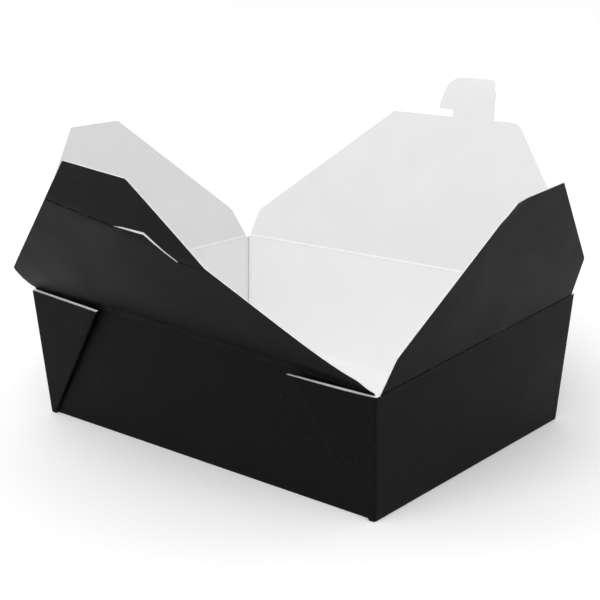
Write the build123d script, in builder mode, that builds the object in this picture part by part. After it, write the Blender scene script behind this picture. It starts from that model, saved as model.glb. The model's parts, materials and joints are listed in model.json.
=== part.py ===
"""Folded takeaway box: one sheet of paperboard, black outside and white inside.

The tray is the floor panel, four flaring walls and four folded corner webs. Each web is
two layers thick and lies folded back on the outside of a long wall. Four lid flaps hinge
on the creases along the rim: two plain end flaps, a front flap with a lock slit and a
back flap with a hooked lock tab.

Frame: origin on the ground under the middle of the floor panel, X along the long walls
(the right end is +X), Y from the front wall (-Y) to the back wall (+Y), Z up.
"""

from build123d import *

import os
from math import cos, radians, sin

# ---------------------------------------------------------------- driving dimensions, mm
board = 0.5  # thickness of the paperboard

# tray, measured over the outer faces
base_length = 197.0
base_width = 145.0
rim_length = 203.5
rim_width = 155.5
crease_height = 61.0  # hinge creases of the front and back flaps above the ground
end_crease_drop = 0.6  # the end flaps fold in first, so their creases lie a little lower
rim_rack = 3.0  # the thin open tray is racked: its front left and back right rim corners
# stand this much above crease_height, and the other two rim corners as much below it

# corner webs
web_width = 44.0  # reach of a web from the corner to its pointed tip, along the rim
web_foot = 0.8  # reach of a web at the ground, where its diagonal fold starts
web_lift = 3.5  # degrees that a web springs away from the wall
web_top_drop = 1.3  # top edge of a web below the crease of the long wall
layer_gap = 0.2  # between the two layers of a web
wall_gap = 0.3  # between a web and the wall it is folded against, at the corner
corner_radius = 0.8  # inside radius where a web turns into the end wall

# flap hinges
long_hinge_clearance = 0.1  # between a long flap's rounded root and the top of its wall
end_hinge_clearance = 0.4  # the same at an end flap, which folds down outside its wall
long_root_inset = 1.45  # end of a front or back flap's root inside the rim corner
end_root_inset = 1.75  # end of an end flap's root inside the rim corner

# end flaps, measured from the hinge line
end_ear_half = 73.0
end_ear_height = 17.0
end_ear_radius = 6.0
end_tip_half = 16.5
end_tip_height = 77.0
end_tip_radius = 2.0

# front flap
front_left_ear_height = 18.5
front_right_ear_height = 10.5
front_right_ear_inset = 2.5  # outer corner of the small right ear inside the root's end
front_ear_step = (6.5, 4.5)  # from that corner to where the long edge starts, in and up
front_ear_radius = 4.0
front_tip_left = (-14.0, 104.5)
front_tip_right = (18.5, 101.0)
front_tip_radius = 1.5
fold_left = (-35.5, 82.0)  # where the fold of the tip meets the left edge
fold_right = (42.2, 61.7)  # and the right edge
fold_angle = 10.5  # degrees that the tip leans in from the rest of the flap
slit_start = (-0.4, 74.4)
slit_length = 16.8  # straight stretch of the slit, parallel to the hinge
slit_end = (28.4, 61.6)
slit_gap = 1.0

# back flap
back_ear_height = 15.5
back_ear_radius = 5.0
back_tip_left = -35.5
back_tip_right = 40.5
back_tip_height = 83.0
back_left_radius = 1.5
back_right_radius = 9.0

# lock tab, standing on the top edge of the back flap
tab_left = 2.0
tab_right = 26.3
tab_height = 22.5
tab_top_right = 18.5  # right end of the tab's top edge
hook_reach = 10.5  # how far the hook stands out past the tab's left edge
hook_height = 4.5  # underside of the hook above the flap's top edge
hook_radius = 7.0
hook_point_radius = 1.0
notch_radius = 4.0
tab_radius = 4.0

# how far each flap stands open: degrees from level outwards, so 90 is upright
front_open = 53.0
back_open = 55.0
right_open = 69.0
left_open = 59.0

# ---------------------------------------------------------------- shared geometry
root_radius = board / 2  # a flap's root is rounded round its hinge line
long_root_half = rim_length / 2 - long_root_inset
end_root_half = rim_width / 2 - end_root_inset


def half_length(z):
    """Half the outer length of the tray at height z."""
    return (base_length + (rim_length - base_length) * z / crease_height) / 2


def half_width(z):
    """Half the outer width of the tray at height z."""
    return (base_width + (rim_width - base_width) * z / crease_height) / 2


def rim_point(sign_x, sign_y, drop):
    """Corner of the racked rim, in the middle of the board, at drop below the creases."""
    z = crease_height + rim_rack * sign_x * sign_y - drop
    return Vector(sign_x * (half_length(z) - board / 2), sign_y * (half_width(z) - board / 2), z)


def web_reach(z):
    """Length of a web's straight layers at height z, between its two folds."""
    return web_foot + (web_width - web_foot) * z / crease_height


def corner_edges(z, sign_x, sign_y, black):
    """Draw one face of the sheet round a corner, from the long wall to the end wall.

    u runs in from the outer face of the end wall, v out from the outer face of the long
    wall. The sheet turns back on itself where the long wall ends (first fold), runs along
    the wall, doubles back at the diagonal (second fold) and turns the corner (third fold).
    The black face and the white face are the same path at two distances. Returns the ends
    of the path on the long wall and on the end wall.
    """
    lean = radians(web_lift)
    along = Vector(cos(lean), sin(lean))
    across = Vector(-sin(lean), cos(lean))
    first_radius = wall_gap / 2
    second_radius = layer_gap / 2

    first = Vector(2 * board + layer_gap + first_radius, first_radius)
    reach = web_reach(z)
    second = first + along * reach + across * (first_radius + board + second_radius)
    rise = first_radius + board + layer_gap - corner_radius
    third_u = board + corner_radius
    run = (third_u - first.X + rise * sin(lean)) / cos(lean)
    third = first + along * run + across * rise

    first_r = first_radius if black else first_radius + board
    second_r = second_radius + board if black else second_radius
    third_r = corner_radius + board if black else corner_radius

    def place(point):
        return (sign_x * (half_length(z) - point.X), sign_y * (half_width(z) + point.Y))

    def turned(centre, radius, degrees):
        return centre + Vector(cos(radians(degrees)), sin(radians(degrees))) * radius

    wall_end = turned(first, first_r, 270)
    first_mid = turned(first, first_r, 180 + web_lift / 2)
    first_end = first + across * first_r
    second_start = second - across * second_r
    second_mid = second + along * second_r
    second_end = second + across * second_r
    third_start = third + across * third_r
    third_mid = turned(third, third_r, 135 + web_lift / 2)
    third_end = turned(third, third_r, 180)

    ThreePointArc(place(wall_end), place(first_mid), place(first_end))
    Line(place(first_end), place(second_start))
    ThreePointArc(place(second_start), place(second_mid), place(second_end))
    Line(place(second_end), place(third_start))
    ThreePointArc(place(third_start), place(third_mid), place(third_end))
    return place(wall_end), place(third_end)


def ring_edges(z, black):
    """Draw the whole outline of one face of the sheet at height z."""
    ends = {}
    for sign_x in (1, -1):
        for sign_y in (-1, 1):
            ends[sign_x, sign_y] = corner_edges(z, sign_x, sign_y, black)
    for sign_y in (-1, 1):
        Line(ends[-1, sign_y][0], ends[1, sign_y][0])
    for sign_x in (1, -1):
        Line(ends[sign_x, -1][1], ends[sign_x, 1][1])


# ---------------------------------------------------------------- tray
above = 8.0  # how far the walls are drawn past the mean rim before their tops are cut
wall_drop = root_radius + long_hinge_clearance  # top of a long wall below its crease
end_wall_drop = end_crease_drop + root_radius + end_hinge_clearance
web_cut = board / 2 + wall_gap / 2  # between a long wall and its webs
end_cut = board / 2 + layer_gap / 2  # between an end wall and the folds inside it


def cut_above(sign_x, sign_y, drop, inner, outer):
    """Cut away what stands higher than one wall's racked top edge, lowered by drop.

    One sign is 0 and the other says which wall. The cut reaches from inner to outer,
    measured outwards from the middle of the wall's board.
    """
    start = rim_point(sign_x - sign_y, sign_y + sign_x, drop)
    end = rim_point(sign_x + sign_y, sign_y - sign_x, drop)
    run = end - start
    top = Plane(origin=(start + end) / 2, x_dir=run, z_dir=run.cross(Vector(sign_x, sign_y, 0)))
    with BuildSketch(top) as cut:
        with Locations((0, (inner + outer) / 2)):
            Rectangle(run.length + above, outer - inner)
    extrude(cut.sketch, amount=2 * above + rim_rack, mode=Mode.SUBTRACT)


with BuildPart() as tray:
    for level in (0, crease_height + above):
        with BuildSketch(Plane.XY.offset(level)):
            with BuildLine():
                ring_edges(level, black=True)
            make_face()
    loft(ruled=True)
    floor_edges = tray.edges().group_by(Axis.Z)[0].filter_by(GeomType.LINE).sort_by(Edge.length)[-4:]
    fillet(floor_edges, radius=board)

    for level in (board, crease_height + 2 * above):
        with BuildSketch(Plane.XY.offset(level)):
            with BuildLine():
                ring_edges(level, black=False)
            make_face()
    loft(ruled=True, mode=Mode.SUBTRACT)

    for side in (1, -1):
        cut_above(0, side, wall_drop, -above, above)
        cut_above(0, side, web_top_drop, web_cut, 2 * above)
        cut_above(side, 0, end_wall_drop, -end_cut, above)
tray.part.label = "tray"


# ---------------------------------------------------------------- flaps
def flap_plane(start, end, outward, degrees):
    """Plane of an open flap: X along its hinge line, from start to end, and Y up the flap."""
    hinge = (end - start).normalized()
    up = Vector(0, 0, 1)
    up = (up - hinge * hinge.dot(up)).normalized()
    level = Vector(*outward)
    level = (level - hinge * hinge.dot(level)).normalized()
    rise = level * cos(radians(degrees)) + up * sin(radians(degrees))
    return Plane(origin=(start + end) / 2, x_dir=hinge, z_dir=hinge.cross(rise))


def flat_plate(plane, corners):
    """Board cut to an outline, with half its thickness on each side of the plane.

    corners holds one (point, radius) pair for each corner of the outline.
    """
    points = [point for point, radius in corners]
    radii = [radius for point, radius in corners]
    with BuildPart() as plate:
        with BuildSketch(plane):
            with BuildLine():
                FilletPolyline(*points, radius=radii, close=True)
            make_face()
        extrude(amount=board / 2, both=True)
    return plate.part


def round_bar(plane, start, end):
    """Bar as thick as the board, between two points of a flap's plane."""
    start_point = plane.from_local_coords((*start, 0))
    end_point = plane.from_local_coords((*end, 0))
    direction = end_point - start_point
    with BuildPart() as bar:
        with BuildSketch(Plane(origin=start_point, z_dir=direction)):
            Circle(board / 2)
        extrude(amount=direction.length)
    return bar.part


def end_flap(plane):
    """Plain end flap: rounded ears near the hinge, then a taper to a narrow tip."""
    right_side = [
        ((end_root_half, 0), 0),
        ((end_ear_half, end_ear_height), end_ear_radius),
        ((end_tip_half, end_tip_height), end_tip_radius),
    ]
    left_side = [((-u, v), radius) for (u, v), radius in reversed(right_side)]
    with BuildPart() as flap:
        add(flat_plate(plane, right_side + left_side))
        add(round_bar(plane, (-end_root_half, 0), (end_root_half, 0)))
    return flap


right_ends = (rim_point(1, -1, end_crease_drop), rim_point(1, 1, end_crease_drop))
left_ends = (rim_point(-1, 1, end_crease_drop), rim_point(-1, -1, end_crease_drop))
front_ends = (rim_point(-1, -1, 0), rim_point(1, -1, 0))
back_ends = (rim_point(-1, 1, 0), rim_point(1, 1, 0))

right_plane = flap_plane(*right_ends, (1, 0, 0), right_open)
left_plane = flap_plane(*left_ends, (-1, 0, 0), left_open)
front_plane = flap_plane(*front_ends, (0, -1, 0), front_open)
back_plane = flap_plane(*back_ends, (0, 1, 0), back_open)

right_flap = end_flap(right_plane)
right_flap.part.label = "right_flap"

left_flap = end_flap(left_plane)
left_flap.part.label = "left_flap"

# front flap: its tip is folded in along a slanted line, and the slit crosses that line
right_ear = long_root_half - front_right_ear_inset
front_outline = [
    ((-long_root_half, 0), 0),
    ((long_root_half, 0), 0),
    ((right_ear, front_right_ear_height), front_ear_radius / 2),
    ((right_ear - front_ear_step[0], front_right_ear_height + front_ear_step[1]), 0),
    (fold_right, 0),
    (front_tip_right, front_tip_radius),
    (front_tip_left, front_tip_radius),
    (fold_left, 0),
    ((-long_root_half, front_left_ear_height), front_ear_radius),
]
slit_corner = (slit_start[0] + slit_length, slit_start[1])
fold_start = front_plane.from_local_coords((*fold_left, 0))
fold_line = front_plane.from_local_coords((*fold_right, 0)) - fold_start
fold_plane = Plane(origin=fold_start, x_dir=front_plane.z_dir, z_dir=front_plane.z_dir.cross(fold_line))
slit_depth = 4 * board  # half depth of the cut, which passes through the folded tip too

with BuildPart() as front_tip:
    add(flat_plate(front_plane, front_outline))
    split(bisect_by=fold_plane, keep=Keep.TOP)

with BuildPart() as front_flap:
    add(flat_plate(front_plane, front_outline))
    split(bisect_by=fold_plane, keep=Keep.BOTTOM)
    add(front_tip.part.rotate(Axis(fold_start, fold_line), -fold_angle))
    add(round_bar(front_plane, fold_left, fold_right))
    add(round_bar(front_plane, (-long_root_half, 0), (long_root_half, 0)))
    with BuildSketch(front_plane):
        with BuildLine():
            Polyline(slit_start, slit_corner, slit_end)
        trace(line_width=slit_gap)
    extrude(amount=slit_depth, both=True, mode=Mode.SUBTRACT)
front_flap.part.label = "front_flap"

# back flap: one plate with its hooked lock tab
hook_left = tab_left - hook_reach
tab_top = back_tip_height + tab_height
hook_bottom = back_tip_height + hook_height
back_outline = [
    ((-long_root_half, 0), 0),
    ((long_root_half, 0), 0),
    ((long_root_half, back_ear_height), back_ear_radius),
    ((back_tip_right, back_tip_height), back_right_radius),
    ((tab_right, back_tip_height), 0),
    ((tab_top_right, tab_top), tab_radius),
    ((hook_left, tab_top), hook_radius),
    ((hook_left, hook_bottom), hook_point_radius),
    ((tab_left, hook_bottom), notch_radius),
    ((tab_left, back_tip_height), 0),
    ((back_tip_left, back_tip_height), back_left_radius),
    ((-long_root_half, back_ear_height), back_ear_radius),
]

with BuildPart() as back_flap:
    add(flat_plate(back_plane, back_outline))
    add(round_bar(back_plane, (-long_root_half, 0), (long_root_half, 0)))
back_flap.part.label = "back_flap"

# ---------------------------------------------------------------- export
os.makedirs("parts", exist_ok=True)
export_step(tray.part, "parts/tray.step")
export_step(front_flap.part, "parts/front_flap.step")
export_step(back_flap.part, "parts/back_flap.step")
export_step(right_flap.part, "parts/right_flap.step")
export_step(left_flap.part, "parts/left_flap.step")
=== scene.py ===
import json
from math import atan2, cos, exp, inf, pi, radians, sin, tan

import bmesh
import bpy
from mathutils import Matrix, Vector


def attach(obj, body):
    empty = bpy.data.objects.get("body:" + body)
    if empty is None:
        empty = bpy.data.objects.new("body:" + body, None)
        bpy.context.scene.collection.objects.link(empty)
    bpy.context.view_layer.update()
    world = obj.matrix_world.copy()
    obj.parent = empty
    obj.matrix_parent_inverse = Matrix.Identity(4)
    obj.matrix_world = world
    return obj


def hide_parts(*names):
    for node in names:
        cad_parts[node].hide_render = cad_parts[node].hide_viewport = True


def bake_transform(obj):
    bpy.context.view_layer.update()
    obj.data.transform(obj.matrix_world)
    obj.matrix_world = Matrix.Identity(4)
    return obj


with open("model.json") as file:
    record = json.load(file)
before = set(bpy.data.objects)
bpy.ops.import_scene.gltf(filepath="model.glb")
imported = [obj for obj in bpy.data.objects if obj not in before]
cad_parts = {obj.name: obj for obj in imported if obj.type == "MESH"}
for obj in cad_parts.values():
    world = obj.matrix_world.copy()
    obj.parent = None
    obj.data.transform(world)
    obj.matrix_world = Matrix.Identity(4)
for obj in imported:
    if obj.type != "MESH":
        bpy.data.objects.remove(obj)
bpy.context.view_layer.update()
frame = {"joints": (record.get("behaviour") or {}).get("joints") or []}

MM = 0.001

# ---------------------------------------------------------------- sizes, mm, as in the CAD model
BOARD = 0.5
BASE_LENGTH = 197.0
BASE_WIDTH = 145.0
RIM_LENGTH = 203.5
RIM_WIDTH = 155.5
CREASE_HEIGHT = 61.0
WEB_WIDTH = 44.0
WEB_FOOT = 0.8
LONG_ROOT_CUT = 1.45  # how far a flap's root stops short of the rim's corner
END_ROOT_CUT = 1.75
LONG_ROOT_HALF = RIM_LENGTH / 2 - LONG_ROOT_CUT
END_ROOT_HALF = RIM_WIDTH / 2 - END_ROOT_CUT
WALL_GAP = 0.3
LAYER_GAP = 0.35
CORNER_RADIUS = 0.8
FLOOR_RADIUS = 0.6

JOINTS = {joint["name"]: joint for joint in frame["joints"]}


class Hinge:
    """One crease of the rim: its middle, its direction and the flap's open angle."""

    def __init__(self, name, sign, outward, degrees):
        joint = JOINTS[name]
        self.middle = Vector(joint["pos_m"]) / MM
        self.along = (Vector(joint["axis"]) * sign).normalized()
        up = Vector((0, 0, 1))
        self.up = (up - self.along * self.along.dot(up)).normalized()
        level = Vector(outward)
        self.level = (level - self.along * self.along.dot(level)).normalized()
        self.open = radians(degrees)

    def height(self, x, y):
        """Height of the crease above the point (x, y) of its wall."""
        run = Vector((x, y, 0)) - self.middle
        flat = Vector((self.along.x, self.along.y, 0))
        return self.middle.z + self.along.z * run.dot(flat) / flat.length_squared

    def direction(self, angle):
        """Direction across the crease, at an angle from level outwards."""
        return self.level * cos(angle) + self.up * sin(angle)


FRONT = Hinge("front_crease", -1, (0, -1, 0), 53.0)
BACK = Hinge("back_crease", 1, (0, 1, 0), 55.0)
RIGHT = Hinge("right_crease", -1, (1, 0, 0), 69.0)
LEFT = Hinge("left_crease", -1, (-1, 0, 0), 59.0)
WALL_HINGE = {(0, -1): FRONT, (0, 1): BACK, (1, 0): RIGHT, (-1, 0): LEFT}


def half_length(z):
    """Half the box's length between its end walls' outer faces, at a height."""
    return (BASE_LENGTH + (RIM_LENGTH - BASE_LENGTH) * z / CREASE_HEIGHT) / 2


def half_width(z):
    """Half its width between its long walls' outer faces."""
    return (BASE_WIDTH + (RIM_WIDTH - BASE_WIDTH) * z / CREASE_HEIGHT) / 2


LONG_LEAN = atan2((RIM_WIDTH - BASE_WIDTH) / 2, CREASE_HEIGHT)
END_LEAN = atan2((RIM_LENGTH - BASE_LENGTH) / 2, CREASE_HEIGHT)


# ---------------------------------------------------------------- materials
TOOTH_DEPTH = 0.02 * MM


def node_material(name):
    """New material, with its nodes, its links and its shader."""
    material = bpy.data.materials.new(name)
    material.use_nodes = True
    nodes = material.node_tree.nodes
    return material, nodes, material.node_tree.links, nodes["Principled BSDF"]


def noise(nodes, links, coordinates, scale, detail, stretch=(1, 1, 1), distortion=0.0):
    """Noise texture over the object's own coordinates, with its cells stretched."""
    mapping = nodes.new("ShaderNodeMapping")
    mapping.inputs["Scale"].default_value = stretch
    texture = nodes.new("ShaderNodeTexNoise")
    texture.inputs["Scale"].default_value = scale
    texture.inputs["Detail"].default_value = detail
    texture.inputs["Distortion"].default_value = distortion
    links.new(coordinates.outputs["Object"], mapping.inputs["Vector"])
    links.new(mapping.outputs["Vector"], texture.inputs["Vector"])
    return texture


def grey(value):
    return (value, value, value)


def ramp(nodes, links, source, stops):
    """Colour ramp on a factor. stops holds (position, colour) pairs."""
    node = nodes.new("ShaderNodeValToRGB")
    elements = node.color_ramp.elements
    while len(elements) < len(stops):
        elements.new(0.5)
    for element, (position, colour) in zip(elements, stops):
        element.position = position
        element.color = (*colour, 1)
    links.new(source, node.inputs["Fac"])
    return node


def tooth_bump(nodes, links, shader, coordinates, scale, strength):
    """Fine tooth of the board's surface, as bump."""
    tooth = noise(nodes, links, coordinates, scale, 2)
    bump = nodes.new("ShaderNodeBump")
    bump.inputs["Strength"].default_value = strength
    bump.inputs["Distance"].default_value = TOOTH_DEPTH
    links.new(tooth.outputs["Fac"], bump.inputs["Height"])
    links.new(bump.outputs["Normal"], shader.inputs["Normal"])


def mixed(nodes, links, blend, first, second):
    """Colour from two colours blended in full."""
    mix = nodes.new("ShaderNodeMix")
    mix.data_type = "RGBA"
    mix.blend_type = blend
    mix.inputs["Factor"].default_value = 1.0
    links.new(first, mix.inputs["A"])
    links.new(second, mix.inputs["B"])
    return mix.outputs["Result"]


def black_board():
    """Matte black print on clay-coated board: faint clouds, pale flecks, short scuffs, fine tooth."""
    material, nodes, links, shader = node_material("black_print")
    coordinates = nodes.new("ShaderNodeTexCoord")
    cloud = noise(nodes, links, coordinates, 28, 4, distortion=0.6)
    fleck = noise(nodes, links, coordinates, 620, 2)
    swirl = noise(nodes, links, coordinates, 60, 3, distortion=1.5)
    patch = noise(nodes, links, coordinates, 24, 1)
    cloud_stops = ((0.3, (0.0021, 0.0021, 0.0022)), (0.72, (0.0040, 0.0040, 0.0041)))
    cloudy = ramp(nodes, links, cloud.outputs["Fac"], cloud_stops)
    flecked = ramp(nodes, links, fleck.outputs["Fac"], ((0.66, grey(0.0)), (0.79, grey(0.012))))
    stroke_stops = ((0.488, grey(0.0)), (0.5, grey(0.005)), (0.512, grey(0.0)))
    strokes = ramp(nodes, links, swirl.outputs["Fac"], stroke_stops)
    worn = ramp(nodes, links, patch.outputs["Fac"], ((0.58, grey(0.0)), (0.66, grey(1.0))))
    scuffs = mixed(nodes, links, "MULTIPLY", strokes.outputs["Color"], worn.outputs["Color"])
    marked = mixed(nodes, links, "ADD", cloudy.outputs["Color"], flecked.outputs["Color"])
    printed = mixed(nodes, links, "ADD", marked, scuffs)
    links.new(printed, shader.inputs["Base Color"])
    rough = ramp(nodes, links, cloud.outputs["Fac"], ((0.25, grey(0.46)), (0.75, grey(0.58))))
    links.new(rough.outputs["Color"], shader.inputs["Roughness"])
    tooth_bump(nodes, links, shader, coordinates, 1800, 0.35)
    shader.inputs["Specular IOR Level"].default_value = 0.065
    return material


def white_board(name, low, high):
    """White food-safe inside of the board, between two greys of a very faint mottle."""
    material, nodes, links, shader = node_material(name)
    coordinates = nodes.new("ShaderNodeTexCoord")
    mottle = noise(nodes, links, coordinates, 45, 4)
    tone = ramp(nodes, links, mottle.outputs["Fac"], ((0.3, grey(low)), (0.7, grey(high))))
    links.new(tone.outputs["Color"], shader.inputs["Base Color"])
    tooth_bump(nodes, links, shader, coordinates, 1400, 0.15)
    shader.inputs["Roughness"].default_value = 0.55
    shader.inputs["Specular IOR Level"].default_value = 0.3
    return material


def cut_edge():
    """Raw cut edge of the board: bleached fibre, a little rougher and warmer."""
    material, nodes, links, shader = node_material("cut_edge")
    coordinates = nodes.new("ShaderNodeTexCoord")
    fibre = noise(nodes, links, coordinates, 900, 3, stretch=(0.3, 0.3, 1))
    fibre_stops = ((0.3, (0.66, 0.655, 0.64)), (0.7, (0.82, 0.815, 0.80)))
    tone = ramp(nodes, links, fibre.outputs["Fac"], fibre_stops)
    links.new(tone.outputs["Color"], shader.inputs["Base Color"])
    shader.inputs["Roughness"].default_value = 0.85
    shader.inputs["Specular IOR Level"].default_value = 0.2
    return material


def floor_paper():
    """White paper under the box, faintly lit from within so that it stays near white."""
    material, nodes, links, shader = node_material("studio_floor")
    coordinates = nodes.new("ShaderNodeTexCoord")
    soft = noise(nodes, links, coordinates, 3, 2)
    tone = ramp(nodes, links, soft.outputs["Fac"], ((0.3, grey(0.90)), (0.7, grey(0.92))))
    links.new(tone.outputs["Color"], shader.inputs["Base Color"])
    shader.inputs["Roughness"].default_value = 0.7
    shader.inputs["Emission Color"].default_value = (1, 1, 1, 1)
    shader.inputs["Emission Strength"].default_value = 0.16
    return material


def black_crease_shade(name, dark, worn):
    """Pressed line of a crease on the black face, darkened as painted shade of the crease's valley: dark
    up to one noise level, worn pale at the other.
    """
    material, nodes, links, shader = node_material(name)
    coordinates = nodes.new("ShaderNodeTexCoord")
    shade_and_wear = noise(nodes, links, coordinates, 420, 3)
    tone = ramp(nodes, links, shade_and_wear.outputs["Fac"], ((dark, grey(0.0018)), (worn, grey(0.035))))
    links.new(tone.outputs["Color"], shader.inputs["Base Color"])
    shader.inputs["Roughness"].default_value = 0.9
    shader.inputs["Specular IOR Level"].default_value = 0.03
    return material


def white_crease_highlight():
    """Painted highlight along a crease on the white face, paler than the board round it."""
    material, nodes, links, shader = node_material("white_crease_highlight")
    coordinates = nodes.new("ShaderNodeTexCoord")
    fibre = noise(nodes, links, coordinates, 260, 4)
    tone = ramp(nodes, links, fibre.outputs["Fac"], ((0.35, grey(0.80)), (0.65, grey(0.86))))
    links.new(tone.outputs["Color"], shader.inputs["Base Color"])
    shader.inputs["Roughness"].default_value = 0.6
    shader.inputs["Specular IOR Level"].default_value = 0.3
    return material


# places in the flaps' list of materials; the tray's list has the first three and its base
BLACK, WHITE, EDGE, SHADED_BLACK_CREASE, WHITE_CREASE_HIGHLIGHT, LIT_WHITE_WALL, WORN_SHADED_CREASE = range(7)
LIT_BASE = 3
LID_MATERIALS = (
    black_board(),
    white_board("white_lid", 0.705, 0.730),
    cut_edge(),
    # darker crease lines on the black face: painted shade of each crease's valley, with pale worn flecks
    black_crease_shade("black_crease_shade", 0.56, 0.68),
    # paler line along the creases on the white face: painted highlight
    white_crease_highlight(),
    # paler copy of the same white board for the tray's walls: painted light where they lie in the box's
    # shade
    white_board("white_tray_lit", 0.860, 0.880),
    black_crease_shade("worn_shaded_crease", 0.40, 0.60),
)
TRAY_MATERIALS = (
    LID_MATERIALS[BLACK],
    LID_MATERIALS[LIT_WHITE_WALL],
    LID_MATERIALS[EDGE],
    # paler copy of the same white board for the tray's floor: painted light inside the box's shade
    white_board("white_base_lit", 0.800, 0.820),
)
SHARP_ANGLE = radians(35)  # between faces, above which an edge isn't smoothed


def finish_piece(name, vertices, faces, indices, materials, node):
    """Make a mesh object from points in mm, for one CAD node. indices pick each face's material."""
    mesh = bpy.data.meshes.new(name)
    mesh.from_pydata([Vector(v) * MM for v in vertices], [], faces)
    for material in materials:
        mesh.materials.append(material)
    mesh.polygons.foreach_set("material_index", indices)
    mesh.polygons.foreach_set("use_smooth", [True] * len(faces))
    mesh.set_sharp_from_angle(angle=SHARP_ANGLE)
    mesh.validate()
    piece = bpy.data.objects.new(name, mesh)
    bpy.context.scene.collection.objects.link(piece)
    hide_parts(node)
    return piece


# ---------------------------------------------------------------- tray
CREASE_REACH = 1.6  # how far a flap's crease strip reaches down its wall, mm
CORNER_DROP = 0.3  # top of an end wall beside its flap's root, below the crease
ROOT_STEP = 0.08  # between a flap's root and the wall that stands up beside it
LONG_BOW = 0.5  # outward bow in the middle of a long wall and of an end wall
END_BOW = 0.4
DIP_SKEW = 0.6  # power that moves the dip in a web's outer top edge towards the corner
FOLD_STEPS = 6
WEB_STEPS = 14
LONG_STEPS = 48
END_STEPS = 36
WALL_LEVELS = 20
FLOOR_LEVELS = 4

# how each web springs off its wall: degrees, drop of its top edge at the corner and at
# the tip, and how much lower the outer layer's top edge is at the corner, at the tip and
# between them
WEBS = {
    (-1, -1): dict(lift=2.8, corner_drop=0.35, tip_drop=0.2, outer_drop=0.55, tip_step=0.55, dip=0.0),
    (1, -1): dict(lift=4.0, corner_drop=0.6, tip_drop=1.3, outer_drop=0.1, tip_step=0.1, dip=0.45),
    (1, 1): dict(lift=3.5, corner_drop=0.6, tip_drop=1.3, outer_drop=0.5, tip_step=0.3, dip=0.3),
    (-1, 1): dict(lift=3.0, corner_drop=0.5, tip_drop=1.1, outer_drop=0.6, tip_step=0.2, dip=0.4),
}


def web_reach(z):
    """How far a web's diagonal fold lies from the corner, at a height."""
    return WEB_FOOT + (WEB_WIDTH - WEB_FOOT) * z / CREASE_HEIGHT


def polar(degrees):
    """Unit vector in the plane, at an angle."""
    return Vector((cos(radians(degrees)), sin(radians(degrees))))


def corner_path(lift):
    """Samples of the folded corner from the long wall to the end wall.

    Each sample is a function of z giving (u, v) in the middle of the board and the
    normal to the black face, then the part it belongs to and its fraction along it.
    u runs in from the outer face of the end wall and v out from that of the long wall.
    """
    along = polar(lift)
    across = polar(lift + 90)
    first_r = WALL_GAP / 2 + BOARD / 2
    second_r = LAYER_GAP / 2 + BOARD / 2
    third_r = CORNER_RADIUS + BOARD / 2
    first = Vector((2 * BOARD + LAYER_GAP + WALL_GAP / 2, WALL_GAP / 2))
    rise = WALL_GAP / 2 + BOARD + LAYER_GAP - CORNER_RADIUS
    run = (BOARD + CORNER_RADIUS - first.x + rise * sin(radians(lift))) / cos(radians(lift))
    third = first + along * run + across * rise

    def second(z):
        return first + along * web_reach(z) + across * (first_r + second_r)

    samples = []
    for i in range(FOLD_STEPS + 1):
        f = i / FOLD_STEPS
        turn = polar(270 + (lift - 180) * i / FOLD_STEPS)
        samples.append((lambda z, turn=turn: (first + turn * first_r, -turn), "first", f))
    for i in range(1, WEB_STEPS):
        f = i / WEB_STEPS
        start = first + across * first_r

        def inner(z, f=f, start=start):
            return start + along * web_reach(z) * f, -across

        samples.append((inner, "inner", f))
    for i in range(FOLD_STEPS + 1):
        f = i / FOLD_STEPS
        turn = polar(lift - 90 + 180 * i / FOLD_STEPS)
        samples.append((lambda z, turn=turn: (second(z) + turn * second_r, turn), "second", f))
    for i in range(1, WEB_STEPS):
        f = 1 - i / WEB_STEPS
        end = third + across * third_r

        def outer(z, f=f, end=end):
            start = second(z) + across * second_r
            return end + (start - end) * f, across

        samples.append((outer, "outer", f))
    for i in range(FOLD_STEPS + 1):
        f = i / FOLD_STEPS
        turn = polar(lift + 90 + (90 - lift) * i / FOLD_STEPS)
        samples.append((lambda z, turn=turn: (third + turn * third_r, turn), "third", f))
    return samples


def top_of(sign_x, sign_y, part, f, x, y):
    """Height of the sheet's top edge at one sample of a corner."""
    web = WEBS[sign_x, sign_y]
    crease = WALL_HINGE[0, sign_y].height(x, y)
    end_crease = WALL_HINGE[sign_x, 0].height(x, y)
    wall_top = crease - CREASE_REACH
    inner_corner = crease - web["corner_drop"]
    outer_corner = inner_corner - web["outer_drop"]
    tip = crease - web["tip_drop"]
    if part == "first":
        return wall_top + (inner_corner - wall_top) * f
    if part == "inner":
        return inner_corner + (tip - inner_corner) * f
    if part == "second":
        return tip - web["tip_step"] * f
    if part == "outer":
        step = web["outer_drop"] + (web["tip_step"] - web["outer_drop"]) * f
        step += web["dip"] * sin(pi * f**DIP_SKEW)
        return inner_corner + (tip - inner_corner) * f - step
    return outer_corner + (end_crease - CORNER_DROP - outer_corner) * f


def bow(fraction, z, amount):
    """Slight outward bow of a wall, none at its sides, at its foot and near its crease."""
    level = min(z / (CREASE_HEIGHT - 2 * CREASE_REACH), 1.0)
    return amount * sin(pi * fraction) * sin(pi * level)


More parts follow.
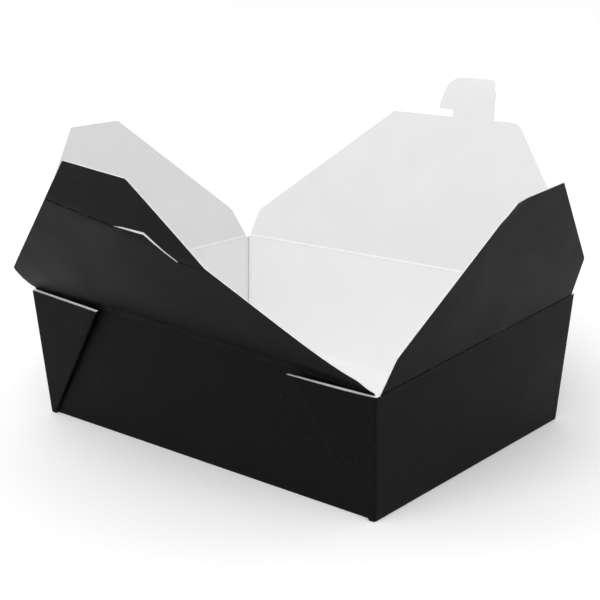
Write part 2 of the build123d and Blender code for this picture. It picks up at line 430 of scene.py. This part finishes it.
def tray_columns():
    """Columns of the tray's wall, in order round the box.

    A column is (place, top): place(z, inset) gives a point in the middle of the board and
    the normal to the black face, and top is the height of its upper end.
    """
    columns = []

    def corner(sign_x, sign_y, flip):
        samples = corner_path(WEBS[sign_x, sign_y]["lift"])
        if flip:
            samples = samples[::-1]
        for sample, part, f in samples:

            def place(z, inset, sample=sample, sign_x=sign_x, sign_y=sign_y):
                uv, normal = sample(z)
                x = sign_x * (half_length(z) - inset - uv.x)
                y = sign_y * (half_width(z) - inset + uv.y)
                return Vector((x, y, z)), Vector((-sign_x * normal.x, sign_y * normal.y, 0))

            rough = place(CREASE_HEIGHT, 0)[0]
            columns.append((place, top_of(sign_x, sign_y, part, f, rough.x, rough.y)))

    def long_wall(sign_y, steps):
        inner_end = half_length(0) - 2 * BOARD - LAYER_GAP - WALL_GAP / 2
        for i in range(1, steps):
            f = i / steps
            side = (2 * f - 1) * -sign_y

            def place(z, inset, f=f, side=side):
                x = side * (half_length(z) - half_length(0) + inner_end - inset)
                y = sign_y * (half_width(z) - inset - BOARD / 2 + bow(f, z, LONG_BOW))
                return Vector((x, y, z)), Vector((0, sign_y, 0))

            rough = place(CREASE_HEIGHT, 0)[0]
            columns.append((place, WALL_HINGE[0, sign_y].height(rough.x, rough.y) - CREASE_REACH))

    def end_wall(sign_x, steps):
        root = END_ROOT_HALF / half_width(CREASE_HEIGHT)
        beside = (END_ROOT_HALF + ROOT_STEP) / half_width(CREASE_HEIGHT)
        across = [-root + 2 * root * i / steps for i in range(steps + 1)]
        under_flap = [(side, CREASE_REACH) for side in across]
        for side, drop in [(-beside, CORNER_DROP), *under_flap, (beside, CORNER_DROP)]:

            def place(z, inset, side=side * sign_x):
                x = sign_x * (half_length(z) - inset - BOARD / 2 + bow((side + 1) / 2, z, END_BOW))
                y = side * (half_width(z) - inset)
                return Vector((x, y, z)), Vector((sign_x, 0, 0))

            rough = place(CREASE_HEIGHT, 0)[0]
            columns.append((place, WALL_HINGE[sign_x, 0].height(rough.x, rough.y) - drop))

    # anticlockwise from the front wall's right corner, seen from above
    corner(1, -1, False)
    end_wall(1, END_STEPS)
    corner(1, 1, True)
    long_wall(1, LONG_STEPS)
    corner(-1, 1, False)
    end_wall(-1, END_STEPS)
    corner(-1, -1, True)
    long_wall(-1, LONG_STEPS)
    return columns


def build_tray():
    """The floor, the walls and the webs, as one folded sheet."""
    columns = tray_columns()
    count = len(columns)
    vertices, faces, materials = [], [], []

    def ring(side, step):
        """One ring of points on the black (1) or white (-1) face. Low steps round the floor fold."""
        first = len(vertices)
        radius = FLOOR_RADIUS if side == 1 else FLOOR_RADIUS - BOARD
        base = 0 if side == 1 else BOARD
        for place, top in columns:
            if step < FLOOR_LEVELS:
                turn = pi / 2 * step / FLOOR_LEVELS
                z = base + radius * (1 - cos(turn))
                inset = radius * (1 - sin(turn))
            else:
                low = base + radius
                f = (step - FLOOR_LEVELS) / WALL_LEVELS
                z = low + (top - low) * f
                inset = 0
            middle, normal = place(z, inset)
            vertices.append(middle + normal * side * BOARD / 2)
        return first

    steps = FLOOR_LEVELS + WALL_LEVELS + 1
    black = [ring(1, s) for s in range(steps)]
    white = [ring(-1, s) for s in range(steps)]

    def quads(low, high, material, flip):
        for i in range(count):
            j = (i + 1) % count
            face = (low + i, low + j, high + j, high + i)
            faces.append(face[::-1] if flip else face)
            materials.append(material)

    for s in range(steps - 1):
        quads(black[s], black[s + 1], BLACK, False)
        # the tray's white face takes the paler copy of the white board: painted light
        quads(white[s], white[s + 1], WHITE, True)
    quads(black[-1], white[-1], EDGE, False)
    faces.append(tuple(range(black[0], black[0] + count))[::-1])
    materials.append(BLACK)
    faces.append(tuple(range(white[0], white[0] + count)))
    materials.append(LIT_BASE)
    piece = finish_piece("tray_board", vertices, faces, materials, TRAY_MATERIALS, "tray")
    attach(piece, "tray")
    return piece


# ---------------------------------------------------------------- flaps
ARC_STEPS = 6


def rounded_outline(corners):
    """Points of a closed outline whose corners are ((u, v), radius) pairs."""
    points = []
    count = len(corners)
    for i, (corner, radius) in enumerate(corners):
        here = Vector(corner)
        if radius == 0:
            points.append(here)
            continue
        before = (Vector(corners[i - 1][0]) - here).normalized()
        after = (Vector(corners[(i + 1) % count][0]) - here).normalized()
        half = before.angle(after) / 2
        reach = radius / tan(half)
        centre = here + (before + after).normalized() * radius / sin(half)
        start = here + before * reach - centre
        end = here + after * reach - centre
        turn = start.angle_signed(end)
        for k in range(ARC_STEPS + 1):
            f = k / ARC_STEPS
            angle = -turn * f
            spun_x = start.x * cos(angle) - start.y * sin(angle)
            spun_y = start.x * sin(angle) + start.y * cos(angle)
            points.append(centre + Vector((spun_x, spun_y)))
    return points


# cuts along the crease, close together where the board bends, and the grid beyond them
CREASE_LINES = (-1.1, -0.8, -0.55, -0.35, -0.18, 0.0, 0.18, 0.35, 0.55, 0.8, 1.1, 1.6, 2.4, 3.6)
GRID = 4.0
CUT_TOLERANCE = 1e-5
WELD = 1e-4


def flat_mesh(outline, hole, fold_cuts):
    """Triangulated outline, with an optional hole, cut by a grid so that it can bend."""
    bm = bmesh.new()
    edges = []
    for loop in (outline, hole):
        ring = [bm.verts.new((p[0], p[1], 0)) for p in loop]
        edges += [bm.edges.new((a, b)) for a, b in zip(ring, ring[1:] + ring[:1])]
    bmesh.ops.triangle_fill(bm, use_beauty=True, use_dissolve=False, edges=edges, normal=(0, 0, 1))
    high_u = max(p[0] for p in outline)
    high_v = max(p[1] for p in outline)
    lines = [((0, v, 0), (0, 1, 0)) for v in CREASE_LINES]
    v = CREASE_LINES[-1] + GRID / 2
    while v < high_v:
        lines.append(((0, v, 0), (0, 1, 0)))
        v += GRID
    steps = int(high_u // GRID) + 1
    lines += [((k * GRID, 0, 0), (1, 0, 0)) for k in range(-steps, steps + 1)]
    lines += fold_cuts
    for point, normal in lines:
        geometry = bm.verts[:] + bm.edges[:] + bm.faces[:]
        bmesh.ops.bisect_plane(bm, geom=geometry, dist=CUT_TOLERANCE, plane_co=point, plane_no=normal)
    bmesh.ops.remove_doubles(bm, verts=bm.verts[:], dist=WELD)
    bm.normal_update()
    for face in bm.faces:
        if face.normal.z < 0:
            face.normal_flip()
    return bm


BEND_RADIUS = 0.7  # of the middle of the board round its crease
GROOVE_HALF = 0.6  # half the width of the groove pressed along a crease
GROOVE_DEPTH = 0.05
CREASE_HIGHLIGHT_HALF = 0.9  # half the width of the painted highlight along a crease on the white face
BEAD_SHARE = 0.4  # how much of a groove's depth shows as a bead on the white face
FOLD_HALF = 0.35  # half the width of a fold pressed in a flap
FOLD_DEPTH = 0.08
FOLD_END = 0.01  # how far past its ends a fold counts, as a share of its length
SLOPE_STEP = 0.02  # step by which a flap's slope is measured


def groove(v):
    """Depth of the groove along the crease, at a distance v from it."""
    return GROOVE_DEPTH * (1 - (v / GROOVE_HALF) ** 2) ** 2 if abs(v) < GROOVE_HALF else 0.0


def fold_distance(folds, u, v):
    """Distance to the nearest of the straight folds pressed in a flap, on their own lengths."""
    nearest = inf
    for start, end in folds:
        run = Vector(end) - Vector(start)
        here = Vector((u, v)) - Vector(start)
        if -FOLD_END <= here.dot(run) / run.length_squared <= 1 + FOLD_END:
            nearest = min(nearest, abs(run.cross(here)) / run.length)
    return nearest


def fold_lines(folds):
    """Cuts along the folds and across their ends, as point and normal pairs."""
    lines = []
    for start, end in folds:
        run = (Vector(end) - Vector(start)).normalized()
        aside = Vector((-run.y, run.x))
        for offset in (-FOLD_HALF, 0.0, FOLD_HALF):
            point = Vector(start) + aside * offset
            lines.append(((point.x, point.y, 0), (aside.x, aside.y, 0)))
        lines.append(((start[0], start[1], 0), (run.x, run.y, 0)))
        lines.append(((end[0], end[1], 0), (run.x, run.y, 0)))
    return lines


def build_flap(name, body, hinge, outline, lean, shape, crease, hole=(), folds=()):
    """One flap with its crease strip, bent between the tray and the flap's own body.

    shape(u, v) gives how far the flap stands in from its plane, towards the inside, and
    crease the half width and the material of the line pressed into the black face, whose dark tone is
    painted shade.
    """
    crease_half, crease_material = crease
    wall_angle = pi / 2 - lean
    flap_angle = hinge.open
    half_turn = (wall_angle - flap_angle) / 2
    reach = BEND_RADIUS * tan(half_turn)
    inwards = hinge.direction(flap_angle + pi / 2)

    def middle(u, v):
        """Middle of the board: up the wall, round the crease, then up the flap."""
        root = hinge.middle + hinge.along * u
        if v <= -reach:
            return root + hinge.direction(wall_angle) * v
        if v >= reach:
            return root + hinge.direction(flap_angle) * v + inwards * shape(u, v)
        turn = (v + reach) / (2 * reach) * 2 * half_turn
        up_wall = hinge.direction(wall_angle)
        away = hinge.direction(wall_angle - pi / 2)
        start = root - up_wall * reach
        return start + up_wall * BEND_RADIUS * sin(turn) + away * BEND_RADIUS * (1 - cos(turn))

    bm = flat_mesh(outline, hole, fold_lines(folds))
    bm.verts.index_update()
    vertices, faces, materials = [], [], []
    sides = []
    handed = hinge.along.cross(hinge.direction(wall_angle)).dot(hinge.direction(wall_angle - pi / 2))
    for vertex in bm.verts:
        u, v = vertex.co.x, vertex.co.y
        across = middle(u + SLOPE_STEP, v) - middle(u - SLOPE_STEP, v)
        up = middle(u, v + SLOPE_STEP) - middle(u, v - SLOPE_STEP)
        normal = across.cross(up).normalized() * (1 if handed > 0 else -1)
        sides.append((middle(u, v), normal))
    for point, normal in sides:
        vertices.append(point + normal * BOARD / 2)
    for point, normal in sides:
        vertices.append(point - normal * BOARD / 2)
    count = len(sides)
    for i, vertex in enumerate(bm.verts):
        press = groove(vertex.co.y)
        if fold_distance(folds, vertex.co.x, vertex.co.y) < FOLD_HALF / 2:
            press += FOLD_DEPTH
        vertices[i] -= sides[i][1] * press
        vertices[count + i] -= sides[i][1] * press * BEAD_SHARE
    for face in bm.faces:
        indices = [vertex.index for vertex in face.verts]
        if handed < 0:
            indices = indices[::-1]
        centre = face.calc_center_median()
        from_crease = abs(centre.y)
        in_fold = fold_distance(folds, centre.x, centre.y) < FOLD_HALF
        faces.append(tuple(indices))
        # the black face along a crease and along the tip's pressed folds takes a darker material:
        # painted shade of their valleys
        outside = SHADED_BLACK_CREASE if in_fold else BLACK
        materials.append(crease_material if from_crease < crease_half else outside)
        faces.append(tuple(count + i for i in reversed(indices)))
        # below the crease the white face takes the tray's paler copy of the white board: painted light
        inside = WHITE if centre.y > 0 else LIT_WHITE_WALL
        # the white face along a crease takes a paler material: painted highlight
        materials.append(WHITE_CREASE_HIGHLIGHT if from_crease < CREASE_HIGHLIGHT_HALF else inside)
    for edge in bm.edges:
        if len(edge.link_faces) != 1:
            continue
        a, b = (vertex.index for vertex in edge.verts)
        loop = edge.link_loops[0]
        if loop.vert.index != a:
            a, b = b, a
        side = (b, a, count + a, count + b)
        if handed < 0:
            side = side[::-1]
        faces.append(side)
        materials.append(EDGE)
    bm.free()
    piece = finish_piece(name, vertices, faces, materials, LID_MATERIALS, body)
    start = hinge.middle - hinge.direction(wall_angle) * CREASE_REACH
    end = hinge.middle + hinge.direction(flap_angle) * CREASE_REACH
    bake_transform(piece)
    return piece


# Outlines in (u, v), mm: u runs along the crease and v away from it. A corner has its radius.
def end_outline(near_ear, far_ear, tip):
    """End flap's outline, from its far side to its near one. Its ears end at two heights."""
    return [
        ((END_ROOT_HALF, -CREASE_REACH), 0),
        ((END_ROOT_HALF, 0), 0),
        ((73.0, far_ear), 5.0),
        *tip,
        ((-73.0, near_ear), 6.0),
        ((-END_ROOT_HALF, 0), 0),
        ((-END_ROOT_HALF, -CREASE_REACH), 0),
    ]


PLAIN_TIP = [((16.5, 77.0), 2.0), ((-16.5, 77.0), 2.0)]
DOG_EARED_TIP = [((16.8, 76.3), 2.0), ((-13.0, 76.3), 0), ((-21.6, 76.9), 0.5), ((-24.6, 71.4), 0)]
DOG_EAR_TOP = Vector((-13.0, 76.3))
DOG_EAR_ACROSS = Vector((-0.496, 0.868))

FOLD_LEFT = Vector((-35.5, 82.0))
FOLD_RIGHT = Vector((43.3, 62.3))
FRONT_OUTLINE = [
    ((LONG_ROOT_HALF, -CREASE_REACH), 0),
    ((LONG_ROOT_HALF, 0), 0),
    ((LONG_ROOT_HALF - 2.5, 10.5), 2.0),
    ((LONG_ROOT_HALF - 9.0, 15.0), 0),
    (FOLD_RIGHT, 0),
    ((18.5, 101.0), 1.5),
    ((-14.0, 104.5), 1.5),
    (FOLD_LEFT, 0),
    ((-LONG_ROOT_HALF, 18.5), 4.0),
    ((-LONG_ROOT_HALF, -CREASE_REACH), 0),
]
FRONT_FOLDS = (((-35.5, 82.0), (-0.4, 74.4)), ((28.6, 61.6), (42.2, 61.7)))
SLIT = [(-0.4, 74.7), (5.0, 75.1), (16.6, 74.6), (28.9, 61.9), (28.4, 61.4), (16.0, 73.3), (5.5, 74.2)]

BACK_OUTLINE = [
    ((LONG_ROOT_HALF, -CREASE_REACH), 0),
    ((LONG_ROOT_HALF, 15.5), 5.0),
    ((41.9, 83.0), 9.0),
    ((27.0, 83.0), 0),
    ((22.7, 97.5), 2.0),
    ((18.4, 106.4), 3.0),
    ((-8.5, 106.4), 7.0),
    ((-8.5, 87.5), 1.0),
    ((2.0, 87.5), 4.0),
    ((2.0, 83.0), 0),
    ((-35.5, 83.0), 1.5),
    ((-LONG_ROOT_HALF, 15.5), 5.0),
    ((-LONG_ROOT_HALF, -CREASE_REACH), 0),
]


def smooth(start, end, value):
    """Smooth step from 0 at start to 1 at end."""
    t = min(max((value - start) / (end - start), 0.0), 1.0)
    return t * t * (3 - 2 * t)


BELLY = 2.6  # how far the front flap bellies out at most
BELLY_HEIGHT = 20.0  # where it does, above the foot of the belly
FOLD_SOFT = 1.2  # half the width over which the tip's fold turns
FOLD_TURN = radians(10.5)
TAB_BEND = 0.12  # slope of the lock tab's bent head, from a height on
TAB_BEND_START = 96.0
DOG_EAR_BEND = 0.25  # slope of the dog-eared corner


def front_shape(u, v):
    """The flap bellies outwards above its crease and its tip folds in along a slanted line."""
    foot = 1.0 + 3.5 * smooth(100.0, 88.0, abs(u))
    t = max(v - foot, 0.0) / BELLY_HEIGHT
    belly = BELLY * t * exp(1 - t)
    line = FOLD_RIGHT - FOLD_LEFT
    past = line.cross(Vector((u, v)) - FOLD_LEFT) / line.length
    if past < -FOLD_SOFT:
        return -belly
    lift = past if past > FOLD_SOFT else (past + FOLD_SOFT) ** 2 / (4 * FOLD_SOFT)
    return lift * tan(FOLD_TURN) - belly


def back_shape(u, v):
    """The lock tab's head bends back a little over the hook."""
    return -TAB_BEND * max(v - TAB_BEND_START, 0.0)


def right_shape(u, v):
    """The near top corner is dog-eared outwards."""
    past = (Vector((u, v)) - DOG_EAR_TOP).dot(DOG_EAR_ACROSS)
    return -DOG_EAR_BEND * max(past, 0.0)


def left_shape(u, v):
    """The left flap is flat."""
    return 0.0


# half the width of the dark line along a crease, painted shade of its valley, and its material
LONG_CREASE = (0.25, WORN_SHADED_CREASE)
END_CREASE = (0.3, SHADED_BLACK_CREASE)
RIGHT_OUTLINE = end_outline(17.0, 21.5, DOG_EARED_TIP)
LEFT_OUTLINE = end_outline(17.0, 17.0, PLAIN_TIP)

build_tray()
build_flap(
    "front_flap_board",
    "front_flap",
    FRONT,
    rounded_outline(FRONT_OUTLINE),
    LONG_LEAN,
    front_shape,
    LONG_CREASE,
    hole=SLIT,
    folds=FRONT_FOLDS,
)
build_flap(
    "back_flap_board",
    "back_flap",
    BACK,
    rounded_outline(BACK_OUTLINE),
    LONG_LEAN,
    back_shape,
    LONG_CREASE,
)
build_flap(
    "right_flap_board",
    "right_flap",
    RIGHT,
    rounded_outline(RIGHT_OUTLINE),
    END_LEAN,
    right_shape,
    END_CREASE,
)
build_flap(
    "left_flap_board",
    "left_flap",
    LEFT,
    rounded_outline(LEFT_OUTLINE),
    END_LEAN,
    left_shape,
    END_CREASE,
)

# ---------------------------------------------------------------- studio
FLOOR_HALF = 8.0  # m
FLOOR_DROP = 0.02 * MM  # below the box, so that the two faces don't share a plane
FLOOR_CORNERS = [(x * FLOOR_HALF, y * FLOOR_HALF, 0) for x, y in ((-1, -1), (1, -1), (1, 1), (-1, 1))]
floor_mesh = bpy.data.meshes.new("floor")
floor_mesh.from_pydata(FLOOR_CORNERS, [], [(0, 1, 2, 3)])
floor_mesh.materials.append(floor_paper())
floor = bpy.data.objects.new("floor", floor_mesh)
floor.location.z = -FLOOR_DROP
bpy.context.scene.collection.objects.link(floor)

world = bpy.data.worlds.new("studio")
world.use_nodes = True
sky_nodes, sky_links = world.node_tree.nodes, world.node_tree.links
direction = sky_nodes.new("ShaderNodeTexCoord")
split = sky_nodes.new("ShaderNodeSeparateXYZ")
sky_links.new(direction.outputs["Generated"], split.inputs["Vector"])
side = sky_nodes.new("ShaderNodeMapRange")
side.inputs["From Min"].default_value = -1
sky_links.new(split.outputs["X"], side.inputs["Value"])
sky_stops = ((0.0, grey(1.0)), (1.0, grey(0.74)))  # from the box's left to its right
sky = ramp(sky_nodes, sky_links, side.outputs["Result"], sky_stops)
sky_links.new(sky.outputs["Color"], sky_nodes["Background"].inputs["Color"])
sky_nodes["Background"].inputs["Strength"].default_value = 0.90
bpy.context.scene.world = world


def area_light(name, position, size, power):
    """Round soft light, aimed at the origin."""
    light = bpy.data.lights.new(name, "AREA")
    light.shape = "DISK"
    light.size = size
    light.energy = power
    lamp = bpy.data.objects.new(name, light)
    lamp.location = position
    lamp.rotation_mode = "QUATERNION"
    lamp.rotation_quaternion = (-Vector(position)).to_track_quat("-Z", "Y")
    bpy.context.scene.collection.objects.link(lamp)


area_light("key", (0.5, -1.6, 2.6), 2.5, 38)
area_light("fill", (-2.2, -1.0, 2.2), 2.0, 5)

# ---------------------------------------------------------------- camera
AZIMUTH = radians(39.14)
ELEVATION = radians(17.36)
DISTANCE = 732.8  # mm, from AIM
AIM = Vector((-11.4, 12.3, 53.6))
FOCAL_LENGTH = 90.14
SENSOR_WIDTH = 36
back = Vector((sin(AZIMUTH) * cos(ELEVATION), -cos(AZIMUTH) * cos(ELEVATION), sin(ELEVATION)))
camera_data = bpy.data.cameras.new("camera")
camera_data.lens = FOCAL_LENGTH
camera_data.sensor_width = SENSOR_WIDTH
camera = bpy.data.objects.new("camera", camera_data)
camera.rotation_mode = "QUATERNION"
camera.location = (AIM + back * DISTANCE) * MM
camera.rotation_quaternion = (-back).to_track_quat("-Z", "Y")
bpy.context.scene.collection.objects.link(camera)
bpy.context.scene.camera = camera
bpy.context.scene.view_settings.view_transform = "Standard"
